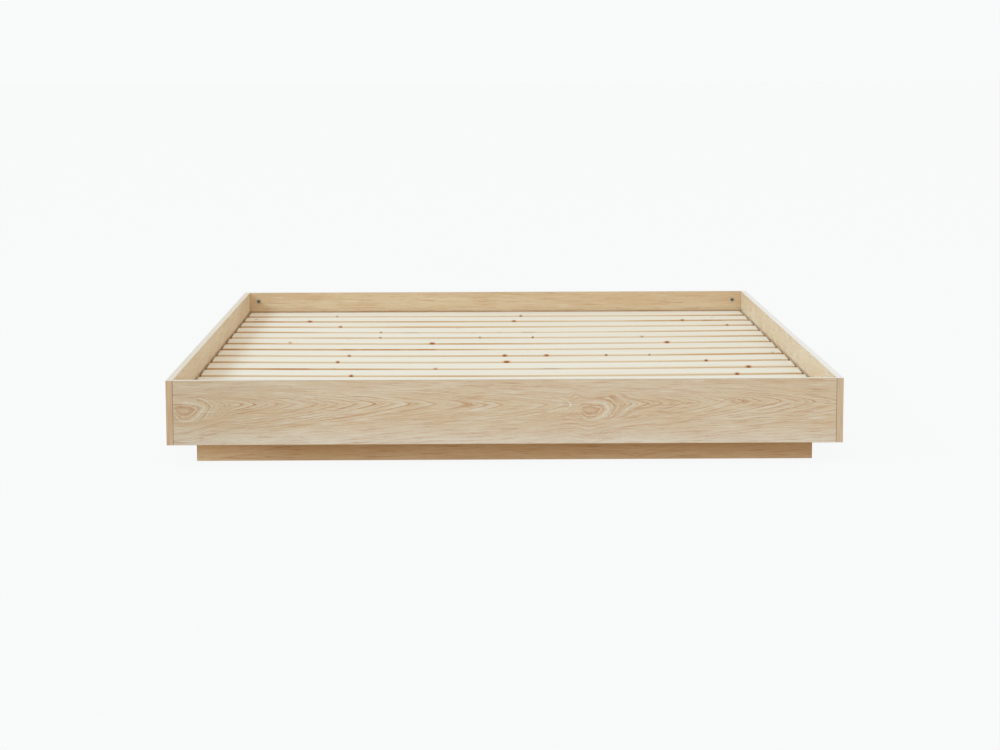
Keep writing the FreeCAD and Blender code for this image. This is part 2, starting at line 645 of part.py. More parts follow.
def bracket(label, side):
    """Steel angle between the centre board and an end board of the plinth."""
    body = doc.addObject("PartDesign::Body", "Bracket")
    profile = sketch_on(body, "Profile", "XY_Plane")
    leg, thick = "Sizes.bracket_leg", "Sizes.bracket_thick"
    draw_outline(profile, [(0, 0, "0", "0"),
                           (0, -40, "0", f"-{leg}"),
                           (2, -40, thick, f"-{leg}"),
                           (2, -2, thick, f"-{thick}"),
                           (40, -2, leg, f"-{thick}"),
                           (40, 0, leg, "0")])
    pad = body.newObject("PartDesign::Pad", "Angle")
    pad.Profile = profile
    pad.Midplane = True
    pad.setExpression("Length", "Sizes.bracket_width")
    doc.recompute()
    drill(body, "EndHoles", "-Y", thick, [(x, "0") for x in BRACKET_HOLES], BRACKET_HOLE, thick)
    drill(body, "CentreHoles", "+X", thick, [(f"-{y}", "0") for y in BRACKET_HOLES],
          BRACKET_HOLE, thick)
    turn = UNTURNED if side > 0 else HALF_TURN
    place(body, f"{side} * Sizes.board / 2", f"{side} * {CORNER_Y}", f"{END_BOARD_HEIGHT} / 2",
          turn)
    keep(body, label)


# ---- screws ----

def countersunk_screw(name, length):
    """Wood screw that points down, with the top of its countersunk head at the origin."""
    head, shank = "Sizes.screw_head / 2", "Sizes.screw / 2"
    taper = "(Sizes.screw_head - Sizes.screw) / 2"
    return turned(name, [(0, 0, "0", "0"),
                         (4, 0, head, "0"),
                         (2, -2, shank, f"-{taper}"),
                         (2, -36, shank, f"-{length} + Sizes.screw_tip"),
                         (0, -40, "0", f"-{length}")], "V_Axis")


def pan_screw():
    """Bracket screw that points down, with the underside of its head at the origin."""
    head, shank = "Sizes.bracket_screw_head / 2", "Sizes.bracket_screw / 2"
    length = "Sizes.bracket_screw_length"
    return turned("PanScrew", [(0, 2, "0", "Sizes.pan_height"),
                               (2, 2, f"{head} - Sizes.pan_crown", "Sizes.pan_height"),
                               (3.5, 1, head, "Sizes.pan_rim"),
                               (3.5, 0, head, "0"),
                               (1.75, 0, shank, "0"),
                               (1.75, -10, shank, f"-{length} + Sizes.bracket_screw_tip"),
                               (0, -13, "0", f"-{length}")], "V_Axis")


def screws():
    """Every wood screw, in one node for each joint that it serves."""
    long_screw = countersunk_screw("LongScrew", "Sizes.long_screw")
    short_screw = countersunk_screw("ShortScrew", "Sizes.short_screw")
    ledger_z = f"{SLAT_BASE} - Sizes.ledger_height / 2"
    batten_z = f"{END_BOARD_HEIGHT} - Sizes.ledger_height / 2"
    sides = ((1, "+X", "+Y"), (-1, "-X", "-Y"))

    places = []
    for side, outwards, endwards in sides:
        places += [(f"{side} * {PLINTH_X}", y, ledger_z, POINTING[outwards])
                   for y in stations(LEDGER_SCREWS)]
        places += [(x, f"{side} * {PLINTH_Y}", batten_z, POINTING[endwards])
                   for x in stations(BATTEN_SCREWS)]
    group("rail_screws", long_screw, places)

    places = []
    for side, outwards, endwards in sides:
        places += [(f"{side} * {CORNER_X}", y, ledger_z, POINTING[outwards])
                   for y in stations(LEDGER_SCREWS - 1)]
        places += [(x, f"{side} * {CORNER_Y}", batten_z, POINTING[endwards])
                   for x in stations(BATTEN_SCREWS - 1)]
    group("plinth_screws", short_screw, places)

    places = []
    for right, head, level in CORNERS:
        middle_x = f"{right} * ({CORNER_X} - Sizes.block_side / 2)"
        middle_y = f"{head} * ({CORNER_Y} - Sizes.block_side / 2)"
        places.append((f"{right} * ({CORNER_X} - Sizes.block_side)", middle_y,
                       f"{SLAT_BASE} / 2 + {level} * Sizes.block_outer_screw",
                       POINTING["+X" if right > 0 else "-X"]))
        places.append((middle_x, f"{head} * ({CORNER_Y} - Sizes.block_side)",
                       f"{SLAT_BASE} / 2 + {level} * Sizes.block_inner_screw",
                       POINTING["+Y" if head > 0 else "-Y"]))
    group("corner_block_screws", short_screw, places)

    places = []
    for side, into_centre, into_end in ((1, "-X", "+Y"), (-1, "+X", "-Y")):
        for hole in BRACKET_HOLES:
            places.append((f"{side} * (Sizes.board / 2 + Sizes.bracket_thick)",
                           f"{side} * ({CORNER_Y} - {hole})", f"{END_BOARD_HEIGHT} / 2",
                           POINTING[into_centre]))
            places.append((f"{side} * (Sizes.board / 2 + {hole})",
                           f"{side} * ({CORNER_Y} - Sizes.bracket_thick)",
                           f"{END_BOARD_HEIGHT} / 2", POINTING[into_end]))
    group("bracket_screws", pan_screw(), places)


# ---- slats and the tapes that space them ----

SLAT_PITCH = (f"((2 * {INNER_Y} - Sizes.slat_width - 2 * Sizes.slat_margin)"
              f" / {SLAT_COUNT - 1})")


def slat(label, y):
    """One full-width pine slat with rounded edges."""
    body = centred_block(f"2 * ({INNER_X} - Sizes.slat_end_gap)", "Sizes.slat_width",
                         "Sizes.slat_thick")
    block = body.Tip
    rounding = body.newObject("PartDesign::Fillet", "Rounding")
    rounding.Base = (block, ["Face1"])
    rounding.UseAllEdges = True
    rounding.setExpression("Radius", "Sizes.slat_round")
    place(body, y=y, z=f"{SLAT_BASE} + Sizes.slat_thick / 2")
    keep(body, label)


def staple():
    """Staple with its crown along X and its legs up, the crown's underside at the origin."""
    body = doc.addObject("PartDesign::Body", "Staple")
    profile = sketch_on(body, "Wire", "XZ_Plane")
    half, wire, leg = "Sizes.staple_crown / 2", "Sizes.staple_wire", "Sizes.staple_leg"
    draw_outline(profile, [(-5, 0, f"-{half}", "0"),
                           (5, 0, half, "0"),
                           (5, 9, half, leg),
                           (4, 9, f"{half} - {wire}", leg),
                           (4, 1, f"{half} - {wire}", wire),
                           (-4, 1, f"-{half} + {wire}", wire),
                           (-4, 9, f"-{half} + {wire}", leg),
                           (-5, 9, f"-{half}", leg)])
    pad = body.newObject("PartDesign::Pad", "Bent")
    pad.Profile = profile
    pad.Midplane = True
    pad.setExpression("Length", wire)
    doc.recompute()
    return body


def slat_bed():
    """The slats, numbered from the head end, with the two tapes stapled to their undersides."""
    rows = stations(SLAT_COUNT, SLAT_PITCH)
    for number, y in enumerate(reversed(rows), start=1):
        slat(f"slat_{number:02d}", y)
    for label, side in (("left_slat_tape", -1), ("right_slat_tape", 1)):
        tape = strip("Sizes.tape_width", f"2 * ({INNER_Y} - Sizes.slat_margin)",
                     "Sizes.tape_thick", f"{side} * Sizes.tape_station - Sizes.tape_width / 2",
                     f"Sizes.slat_margin - {INNER_Y}", f"{SLAT_BASE} - Sizes.tape_thick")
        keep(tape, label)
    crown_z = f"{SLAT_BASE} - Sizes.tape_thick - Sizes.staple_wire"
    group("tape_staples", staple(),
          [(f"{side} * Sizes.tape_station", y, crown_z, UNTURNED) for side in (-1, 1) for y in rows])


# ---- the whole bed ----

def build():
    """Make every sub-part."""
    fill_sheet()
    for name, side in (("head", 1), ("foot", -1)):
        end_rail(f"{name}_rail", side)
        end_rail_bands(f"{name}_rail_edge_band", side)
        batten(f"{name}_batten", side)
    for name, side in (("right", 1), ("left", -1)):
        side_rail(f"{name}_side_rail", side)
        side_rail_bands(f"{name}_side_rail_edge_band", side)
        ledger(f"{name}_ledger", side)
        plinth_side(f"plinth_{name}", side)
    plinth_end("plinth_rear", 1)
    plinth_end("plinth_front", -1)
    plinth_centre()
    for end, head in (("rear", 1), ("front", -1)):
        bracket(f"{end}_bracket", head)
        for hand, right in (("left", -1), ("right", 1)):
            corner_block(f"corner_block_{end}_{hand}", right, head)
    corner_joints()
    screws()
    slat_bed()


def write_parts():
    """Check every object and sub-part, then write each sub-part to its own file."""
    doc.recompute()
    for thing in doc.Objects:
        if "Invalid" in thing.State or "Error" in thing.State:
            raise RuntimeError(f"{thing.Label} failed: {thing.State}")
    for node in nodes:
        if node.Shape.isNull() or not node.Shape.isValid():
            raise RuntimeError(f"{node.Label} has no valid shape")
    os.makedirs("parts", exist_ok=True)
    for node in nodes:
        node.Shape.exportStep(f"parts/{node.Label}.step")
        box = node.Shape.BoundBox
        print(f"{node.Label}: {len(node.Shape.Solids)} solids, "
              f"x {box.XMin:.1f} {box.XMax:.1f}, y {box.YMin:.1f} {box.YMax:.1f}, "
              f"z {box.ZMin:.1f} {box.ZMax:.1f}")


build()
write_parts()
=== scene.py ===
import math

import bpy
from mathutils import Matrix, Vector


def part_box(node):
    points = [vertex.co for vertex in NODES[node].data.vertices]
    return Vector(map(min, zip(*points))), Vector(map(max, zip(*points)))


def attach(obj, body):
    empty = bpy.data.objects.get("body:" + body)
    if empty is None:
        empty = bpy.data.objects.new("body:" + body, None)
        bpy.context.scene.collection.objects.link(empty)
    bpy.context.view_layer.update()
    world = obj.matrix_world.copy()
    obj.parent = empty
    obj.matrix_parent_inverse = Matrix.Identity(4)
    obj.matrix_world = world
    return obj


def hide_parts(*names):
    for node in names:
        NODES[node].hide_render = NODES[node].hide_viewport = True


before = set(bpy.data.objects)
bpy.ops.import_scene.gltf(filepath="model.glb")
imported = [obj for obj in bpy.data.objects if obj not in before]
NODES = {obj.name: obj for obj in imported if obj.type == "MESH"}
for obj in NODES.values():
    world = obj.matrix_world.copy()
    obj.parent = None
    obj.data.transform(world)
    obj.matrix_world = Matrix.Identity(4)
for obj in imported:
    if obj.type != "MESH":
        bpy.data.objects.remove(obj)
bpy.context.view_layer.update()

# Looks for the platform bed: oak-grain foil on the rails and the plinth, pale edge bands, bowed pine
# slats on webbing tapes, and the small hardware. Metres, in the CAD frame.


def tone(red, green, blue):
    """A colour as it looks on screen, 0 to 255, turned into the linear colour that a shader takes."""
    shares = [value / 255 for value in (red, green, blue)]
    return tuple(s / 12.92 if s <= 0.04045 else ((s + 0.055) / 1.055) ** 2.4 for s in shares)


# ---- materials ----

class Value:
    """A number or colour that a material's nodes work out; arithmetic on it adds nodes."""

    def __init__(self, paint, socket):
        self.paint = paint
        self.socket = socket

    def __add__(self, other):
        return self.paint.math("ADD", self, other)

    def __radd__(self, other):
        return self.paint.math("ADD", other, self)

    def __sub__(self, other):
        return self.paint.math("SUBTRACT", self, other)

    def __rsub__(self, other):
        return self.paint.math("SUBTRACT", other, self)

    def __mul__(self, other):
        return self.paint.math("MULTIPLY", self, other)

    def __rmul__(self, other):
        return self.paint.math("MULTIPLY", other, self)

    def __truediv__(self, other):
        return self.paint.math("DIVIDE", self, other)


class Paint:
    """A material, and the nodes that make its colour, gloss and fine relief."""

    def __init__(self, name, **constants):
        self.material = bpy.data.materials.new(name)
        self.material.use_nodes = True
        self.tree = self.material.node_tree
        self.shader = self.tree.nodes["Principled BSDF"]
        for socket, value in constants.items():
            self.shader.inputs[socket.replace("_", " ")].default_value = value
        self.spot = self.add("TexCoord", {}, output="Object")

    def plug(self, socket, value):
        """Set a socket from another node, or to a number or colour."""
        if isinstance(value, Value):
            self.tree.links.new(value.socket, socket)
        elif socket.type == "RGBA":
            socket.default_value = (*value, 1)
        else:
            socket.default_value = value

    def add(self, kind, inputs, output=0, **settings):
        """Add one node and give back one of its outputs."""
        node = self.tree.nodes.new(f"ShaderNode{kind}")
        for name, value in settings.items():
            setattr(node, name, value)
        for key, value in inputs.items():
            self.plug(node.inputs[key], value)
        return Value(self, node.outputs[output])

    def math(self, operation, *values):
        return self.add("Math", dict(enumerate(values)), operation=operation)

    def split(self, vector):
        """The three parts of a vector."""
        node = self.add("SeparateXYZ", {0: vector}).socket.node
        return [Value(self, output) for output in node.outputs]

    def join(self, x, y, z):
        return self.add("CombineXYZ", {0: x, 1: y, 2: z})

    def noise(self, spot, stretch, seed, detail=2.0, roughness=0.5):
        """Smooth noise about 0.5; stretch is how many features a metre has on each axis."""
        shift = (31.7 * seed, 17.3 * seed, 11.9 * seed)
        placed = self.add("VectorMath", {0: spot, 1: stretch, 2: shift}, operation="MULTIPLY_ADD")
        return self.add("TexNoise", {"Vector": placed, "Scale": 1.0, "Detail": detail,
                                     "Roughness": roughness})

    def smooth(self, value, low, high):
        """0 below low, 1 above high, and a soft step between them."""
        return self.add("MapRange", {"Value": value, "From Min": low, "From Max": high},
                        interpolation_type="SMOOTHSTEP")

    def bell(self, value, width):
        """1 where value is 0, fading out over about width on both sides."""
        scaled = value / width
        return self.math("EXPONENT", scaled * scaled * -1.0)

    def curve(self, value, points):
        """A line through the points, both ways from 0 to 1."""
        result = self.add("FloatCurve", {"Value": value})
        mapping = result.socket.node.mapping
        line = mapping.curves[0].points
        line[0].location, line[-1].location = points[0], points[-1]
        for point in points[1:-1]:
            line.new(*point)
        for point in line:
            point.handle_type = "VECTOR"
        mapping.update()
        return result

    def ramp(self, value, stops):
        """Colours or greys along a value; each stop is a place and a colour or a grey."""
        result = self.add("ValToRGB", {"Fac": value})
        elements = result.socket.node.color_ramp.elements
        for index, (place, colour) in enumerate(stops):
            element = elements[index] if index < 2 else elements.new(place)
            element.position = place
            element.color = (*colour, 1) if isinstance(colour, tuple) else (colour,) * 3 + (1,)
        return result

    def mix(self, factor, first, second, blend="MIX"):
        """Mix two colours."""
        node = self.tree.nodes.new("ShaderNodeMix")
        node.data_type, node.blend_type = "RGBA", blend
        colours = [socket for socket in node.inputs if socket.type == "RGBA"]
        self.plug(node.inputs[0], factor)
        self.plug(colours[0], first)
        self.plug(colours[1], second)
        return Value(self, next(socket for socket in node.outputs if socket.type == "RGBA"))

    def finish(self, colour, roughness=None, height=None, relief=0.0002):
        """Plug the worked-out values into the shader; relief is the height's depth in metres."""
        self.plug(self.shader.inputs["Base Color"], colour)
        if roughness is not None:
            self.plug(self.shader.inputs["Roughness"], roughness)
        if height is not None:
            bump = self.add("Bump", {"Height": height, "Distance": relief})
            self.plug(self.shader.inputs["Normal"], bump)
        return self.material


def facing(paint):
    """How squarely a surface faces along X, Y and Z, each from 0 to 1."""
    normal = paint.add("TexCoord", {}, output="Normal")
    return paint.split(paint.add("VectorMath", {0: normal}, operation="ABSOLUTE"))


# The foil's printed oak grain repeats along a board. It has one eye in each repeat, and faint pointed
# rings whose tips lie at these distances after the eye. INK is how strong they are along a repeat,
# from 0 to 1.
REPEAT = 0.946
TIPS = (0.018, 0.033, 0.047, 0.059, 0.070, 0.085, 0.100, 0.112, 0.140, 0.172, 0.200, 0.223, 0.262,
        0.315, 0.338, 0.363, 0.405, 0.451, 0.490, 0.531, 0.590, 0.664, 0.708, 0.743, 0.790, 0.850, 0.895)
INK = [(0.0, 0.8), (0.03, 1.0), (0.07, 0.7), (0.11, 0.9), (0.18, 1.0), (0.22, 0.6), (0.34, 0.7),
       (0.40, 0.95), (0.48, 1.0), (0.56, 0.9), (0.64, 0.45), (0.70, 0.6), (0.78, 0.8), (0.86, 0.35),
       (0.96, 0.8)]
# Bolder rings and loops: tip, line width, strength and colour, and how far from the tip they run.
BOLD = ((0.0140, 0.0012, 0.40, "line", 0.05), (0.0230, 0.0018, 0.80, "line", 0.06),
        (0.0455, 0.0034, 0.75, "cream", 0.07), (0.0590, 0.0014, 0.5, "line", 0.09),
        (0.0670, 0.0016, 0.6, "cream", 0.09), (0.1000, 0.0020, 0.5, "line", 0.05),
        (0.1720, 0.0030, 0.65, "line", 0.10), (0.2230, 0.0018, 0.45, "line", 0.07),
        (0.3150, 0.0020, 0.45, "line", 0.09), (0.3630, 0.0022, 0.55, "line", 0.09),
        (0.4510, 0.0030, 0.70, "line", 0.08), (0.5310, 0.0026, 0.60, "line", 0.10),
        (0.6640, 0.0020, 0.45, "line", 0.06), (0.7080, 0.0018, 0.50, "line", 0.08),
        (0.7430, 0.0020, 0.50, "line", 0.08))
TIP_RISE = 0.014
# How fast the rings' arms open above and below their tips: a steady slope and a curved part.
UPPER_SLOPE, LOWER_SLOPE = 3.6, 3.0
UPPER_CURVE, LOWER_CURVE = 230.0, 75.0
# How strongly the rounded cap just before an eye bends back, and how wide the eye's loops are.
CAP_CURVE = 110.0
UPPER_SPREAD, LOWER_SPREAD = 0.78, 0.48
TIP_ROUNDING = 0.0012
# How far before its eye a repeat starts, and where in a repeat a pale arm runs.
BEFORE_EYE = 0.08 * REPEAT
PALE_ARM = 0.494
FOIL = {
    "early": tone(243, 220, 184),
    "late": tone(236, 207, 166),
    "line": tone(206, 148, 100),
    "cream": tone(254, 244, 222),
    "heart": tone(230, 190, 148),
    "pore": tone(214, 178, 138),
    "core": tone(120, 92, 66),
    # Painted contact shade where the slats meet the rails.
    "contact_shade_brown": tone(176, 112, 66),
}
SLAT_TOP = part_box("slat_01")[1].z


class Grain:
    """Where the foil's rings run on one board, worked out by its material's nodes.

    from_eye is along the board, rise is up from the rings' axis, size is rise without its sign, and
    reach is where along the board the tip of a spot's ring lies."""

    def __init__(self, paint, node, along, eye, level, seed):
        """The grain runs along X or Y, with an eye at that place along the board and that height."""
        x, y, z = paint.split(paint.spot)
        low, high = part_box(node)
        middle, size = (low + high) / 2, high - low
        self.place, depth, centre = (x, y, middle.y) if along == "x" else (y, x, middle.x)
        self.half_length = (size.x if along == "x" else size.y) / 2
        self.inside = paint.math("GREATER_THAN", (centre - depth) * math.copysign(1.0, centre), 0.0)
        self.up = z
        self.above_eye = z - level
        self.run = self.place - eye
        self.spot = paint.join(self.run, 0.0, z)
        self.from_eye = paint.math("WRAP", self.run, REPEAT - BEFORE_EYE, -BEFORE_EYE)
        self.follow_rings(paint, seed)

    def follow_rings(self, paint, seed):
        """Pointed arms that open behind each tip, and closed loops round the eye."""
        from_eye = self.from_eye
        wide = paint.noise(self.spot, (2.2, 0, 7), seed, detail=1.0) - 0.5
        fine = paint.noise(self.spot, (20, 0, 90), seed + 1, detail=2.0) - 0.5
        jagged = paint.noise(self.spot, (60, 0, 520), seed + 6, detail=2.0) - 0.5
        at_eye = paint.bell(paint.math("MAXIMUM", from_eye, from_eye * -2.0), 0.06)
        rise = self.above_eye - TIP_RISE * (1.0 - at_eye) + wide * 0.016 + fine * 0.004
        size = paint.math("SQRT", rise * rise + TIP_ROUNDING ** 2)
        upper = paint.smooth(rise, -0.003, 0.003)
        slope = LOWER_SLOPE + (UPPER_SLOPE - LOWER_SLOPE) * upper
        curved = LOWER_CURVE + (UPPER_CURVE - LOWER_CURVE) * upper
        pointed = size * slope + rise * rise * curved
        bent = from_eye + rise * rise * CAP_CURVE
        aside = paint.math("MAXIMUM", from_eye, from_eye * -1.25)
        spread = paint.math("POWER", size, 1.5) * (LOWER_SPREAD + (UPPER_SPREAD - LOWER_SPREAD) * upper)
        loops = paint.math("SQRT", aside * aside + spread) - from_eye
        near = (1.0 - paint.smooth(from_eye, 0.05, 0.12)) * (1.0 - paint.smooth(size, 0.024, 0.040))
        near = near * paint.smooth(bent, -0.056, -0.024) * paint.smooth(from_eye, -0.056, -0.036)
        reach = self.run + pointed + (loops - pointed) * near + fine * 0.012 + jagged * 0.012
        self.rise, self.size, self.bent, self.reach = rise, size, bent, reach
        self.cycle = paint.math("FRACT", reach / REPEAT)


def broad_tones(paint, grain, seed):
    """The foil's ground: cloudy tones, with painted light from the floor making it paler towards the
    board's lower edge.
    """
    cloud = paint.noise(grain.spot, (3, 0, 18), seed + 5)
    colour = paint.mix(paint.smooth(cloud, 0.3, 0.7), FOIL["early"], FOIL["late"])
    # Painted light: creamier towards the lower edge, as if lit from the floor below.
    painted_floor_light = 1.0 - paint.smooth(grain.above_eye, -0.085, -0.030)
    return paint.mix(painted_floor_light * 0.62, colour, FOIL["cream"])


def fine_streaks(paint, grain, colour, boldness, streak, seed):
    """Threads that follow the rings, strongest in a bold print, and straight streaks."""
    curly, straight = 0.25 + 0.75 * boldness, 1.4 - 0.4 * boldness
    threads = paint.noise(paint.join(grain.run * 10.0, 0.0, grain.reach * 36.0), (1, 0, 1), seed + 7,
                          detail=3.0, roughness=0.65)
    colour = paint.mix(paint.smooth(threads, 0.53, 0.72) * (0.6 * curly), colour, FOIL["line"])
    colour = paint.mix(paint.smooth(threads, 0.46, 0.28) * (0.65 * curly), colour, FOIL["cream"])
    colour = paint.mix(paint.smooth(streak, 0.56, 0.72) * (0.55 * straight), colour, FOIL["line"])
    return paint.mix(paint.smooth(streak, 0.44, 0.28) * (0.6 * straight), colour, FOIL["cream"])


def faint_rings(paint, grain, colour, boldness, seed):
    """A brown line at each ring with a pale one before it; also gives how dark the lines are."""
    count = len(TIPS) + 1
    steps = [(0.0, 0.0)] + [(tip / REPEAT, (number + 1) / count) for number, tip in enumerate(TIPS)]
    ring = paint.math("FRACT", paint.curve(grain.cycle, steps + [(1.0, 1.0)]) * count)
    gap = (1.0 - paint.smooth(grain.bent, -0.030, 0.004)) * paint.bell(grain.rise, 0.020)
    gap = gap * paint.smooth(grain.bent, -0.062, -0.050)
    ink = paint.ramp(grain.cycle, INK) * (1.0 - 0.85 * gap) * boldness
    in_eye = paint.bell(grain.from_eye - 0.006, 0.034) * paint.bell(grain.rise, 0.026)
    patchy = paint.smooth(paint.noise(grain.spot, (9, 0, 70), seed + 2) + in_eye * 0.4, 0.36, 0.60)
    line = paint.ramp(ring, [(0.0, 0.9), (0.06, 0.5), (0.16, 0.12), (0.30, 0.0), (0.84, 0.0),
                             (0.93, 0.5), (1.0, 1.0)]) * ink * patchy
    pale = paint.ramp(ring, [(0.0, 0.0), (0.60, 0.0), (0.76, 0.7), (0.84, 0.7), (0.92, 0.0),
                             (1.0, 0.0)]) * ink * patchy
    colour = paint.mix(pale * 0.6, colour, FOIL["cream"])
    return paint.mix(line * 0.95, colour, FOIL["line"]), line


def bold_marks(paint, grain, colour, boldness):
    """The eye's heart, the bold rings, the cap before the eye and a pale arm under the tips."""
    heart = paint.bell(grain.from_eye - 0.004, 0.020) * paint.bell(grain.rise, 0.012)
    colour = paint.mix(heart * 0.4, colour, FOIL["heart"])
    before_eye = paint.smooth(grain.bent, -0.036, -0.028)
    # How far a spot lies behind the tip of its ring.
    lag = grain.reach - grain.run
    for tip, width, strength, kind, length in BOLD:
        faded = 1.0 - paint.smooth(lag, length * 0.5, length)
        drawn = paint.bell(grain.cycle - tip / REPEAT, width / REPEAT) * faded * before_eye
        colour = paint.mix(drawn * (strength * boldness), colour, FOIL[kind])
    cap = paint.bell(grain.bent + 0.044, 0.0030) * (1.0 - paint.smooth(grain.size, 0.011, 0.018))
    colour = paint.mix(cap * (0.55 * boldness), colour, FOIL["cream"])
    arm = paint.bell(grain.cycle - PALE_ARM, 0.005) * paint.smooth(grain.rise, -0.006, -0.014)
    arm = arm * (1.0 - paint.smooth(grain.rise, -0.034, -0.044)) * (0.7 * boldness)
    return paint.mix(arm, colour, FOIL["cream"])


def raw_ends_and_painted_light(paint, grain, colour, streak, joint, painted_end_light):
    """Painted light and shade towards the low end, the raw ends' dark line, and a painted brown contact
    shade on the inner faces just above the slats.
    """
    end_light_length, end_light_tint = painted_end_light
    # Painted light and shade: the tone is multiplied towards the low end, darker on the foot rail and
    # paler on the plinth front.
    painted_end_light_mask = paint.smooth(grain.place, end_light_length - grain.half_length, 0.02 - grain.half_length)
    colour = paint.mix(painted_end_light_mask, colour, end_light_tint, blend="MULTIPLY")
    end = paint.smooth(paint.math("ABSOLUTE", grain.place), grain.half_length - 0.0018,
                       grain.half_length - 0.0011)
    colour = paint.mix(end * joint, colour, FOIL["core"])
    # Painted contact shade: a brown line along the inner faces where the slats meet the rails.
    painted_contact_shade = paint.bell(grain.up - SLAT_TOP - 0.0012, 0.0022) * paint.smooth(streak, 0.2, 0.5)
    return paint.mix(painted_contact_shade * grain.inside * 0.55, colour, FOIL["contact_shade_brown"])


def oak_foil(node, along, eye, level, seed, shade, bold, joint, painted_end_light=(0.45, (1.0, 1.0, 1.0))):
    """Foil printed with oak grain, for one board.

    bold is how strongly the rings are printed on the outer and the inner face, joint is how dark the
    board's raw ends look, and painted_end_light is over what length painted light and shade change the
    tone towards the board's low end, and by how much."""
    paint = Paint(f"oak_foil_{node}", IOR=1.45)
    grain = Grain(paint, node, along, eye, level, seed)
    outer, inner = bold
    boldness = outer + (inner - outer) * grain.inside
    streak = paint.noise(grain.spot, (14, 0, 400), seed + 3, detail=2.0, roughness=0.6)
    pore = paint.noise(grain.spot, (90, 0, 1100), seed + 4, detail=1.0)

    colour = broad_tones(paint, grain, seed)
    colour = fine_streaks(paint, grain, colour, boldness, streak, seed)
    colour, line = faint_rings(paint, grain, colour, boldness, seed)
    colour = bold_marks(paint, grain, colour, boldness)
    colour = paint.mix(paint.smooth(pore, 0.60, 0.72) * 0.35, colour, FOIL["pore"])
    colour = raw_ends_and_painted_light(paint, grain, colour, streak, joint, painted_end_light)
    # shade multiplies the colour: the foil's own tone on the side rails and the plinth's centre board,
    # painted light and shade on the other boards.
    colour = paint.mix(1.0, colour, shade, blend="MULTIPLY")

    roughness = 0.42 + 0.25 * paint.smooth(pore, 0.5, 0.7)
    height = streak * 0.6 - paint.smooth(pore, 0.58, 0.7) - line * 0.3
    return paint.finish(colour, roughness, height, 0.00010)


def edge_band(name, top, end, seed):
    """Pale band on the long edges and tan band with upright grain on the ends; the tone goes by facing,
    and the tan is partly painted shade on the band's upright faces.
    """
    paint = Paint(name, IOR=1.45)
    _, _, up = facing(paint)
    long_grain = paint.noise(paint.spot, (120, 4, 4), seed, detail=3.0)
    cross_grain = paint.noise(paint.spot, (4, 120, 4), seed + 1, detail=3.0)
    upright = paint.noise(paint.spot, (600, 600, 14), seed + 2, detail=3.0)
    wear = paint.smooth(paint.noise(paint.spot, (9, 9, 40), seed + 3), 0.62, 0.75)
    grain = (long_grain + cross_grain) * 0.5
    dark_top = tuple(0.94 * part for part in top)
    dark_end = tuple(0.80 * part for part in end)
    long_colour = paint.mix(paint.smooth(grain, 0.4, 0.65), top, dark_top)
    upright_colour_painted_shade = paint.mix(paint.smooth(upright, 0.4, 0.7), end, dark_end)
    # Partly painted shade: upright faces take the tan end tone, and faces that look up take the pale
    # one.
    colour = paint.mix(paint.smooth(up, 0.4, 0.8), upright_colour_painted_shade, long_colour)
    roughness = 0.36 + 0.2 * grain + 0.15 * wear
    return paint.finish(colour, roughness, upright + grain, 0.00006)


PINE = {
    "early": tone(243, 238, 224),
    "late": tone(230, 214, 185),
    "edge": tone(244, 222, 188),
    "tan": tone(226, 187, 136),
    "orange": tone(206, 140, 70),
    # Painted shade in the gaps between the slats:
    "painted_gap_shade": tone(150, 128, 108),
    "end": tone(214, 186, 142),
    "knot": tone(172, 108, 60),
    "ring": tone(216, 158, 98),
    "pin": tone(170, 120, 84),
}


def knots_on(paint, colour, grain, knots):
    """Knots at given places; each is x, y, half length and darkness."""
    for knot_x, knot_y, half, darkness in knots:
        offset = paint.add("VectorMath", {0: paint.spot, 1: (knot_x, knot_y, 0)}, operation="SUBTRACT")
        shaped = paint.add("VectorMath", {0: offset, 1: (1.55 / half, 1.0 / half, 0)},
                           operation="MULTIPLY")
        distance = paint.add("VectorMath", {0: shaped}, output="Value", operation="LENGTH")
        distance = distance + (grain - 0.5) * 0.8
        halo = 1.0 - paint.smooth(distance, 0.9, 2.0)
        core = 1.0 - paint.smooth(distance, 0.55, 1.0)
        colour = paint.mix(halo * 0.6 * darkness, colour, PINE["ring"])
        colour = paint.mix(core * darkness, colour, PINE["knot"])
    return colour


def pin_knots_on(paint, colour, along, seed):
    """Small pin knots, scattered."""
    crossing = {"x": (7, 26, 26), "y": (26, 7, 26), "z": (26, 26, 7)}[along]
    cells = paint.add("VectorMath", {0: paint.spot, 1: crossing, 2: (seed, 0.0, 0.0)},
                      operation="MULTIPLY_ADD")
    nearest = paint.add("TexVoronoi", {"Vector": cells, "Scale": 1.0}, output="Distance")
    kind, _, _ = paint.split(paint.add("TexVoronoi", {"Vector": cells, "Scale": 1.0}, output="Color"))
    pin = (1.0 - paint.smooth(nearest, 0.02, 0.055)) * paint.math("GREATER_THAN", kind, 0.72)
    return paint.mix(pin * 0.7, colour, PINE["pin"])


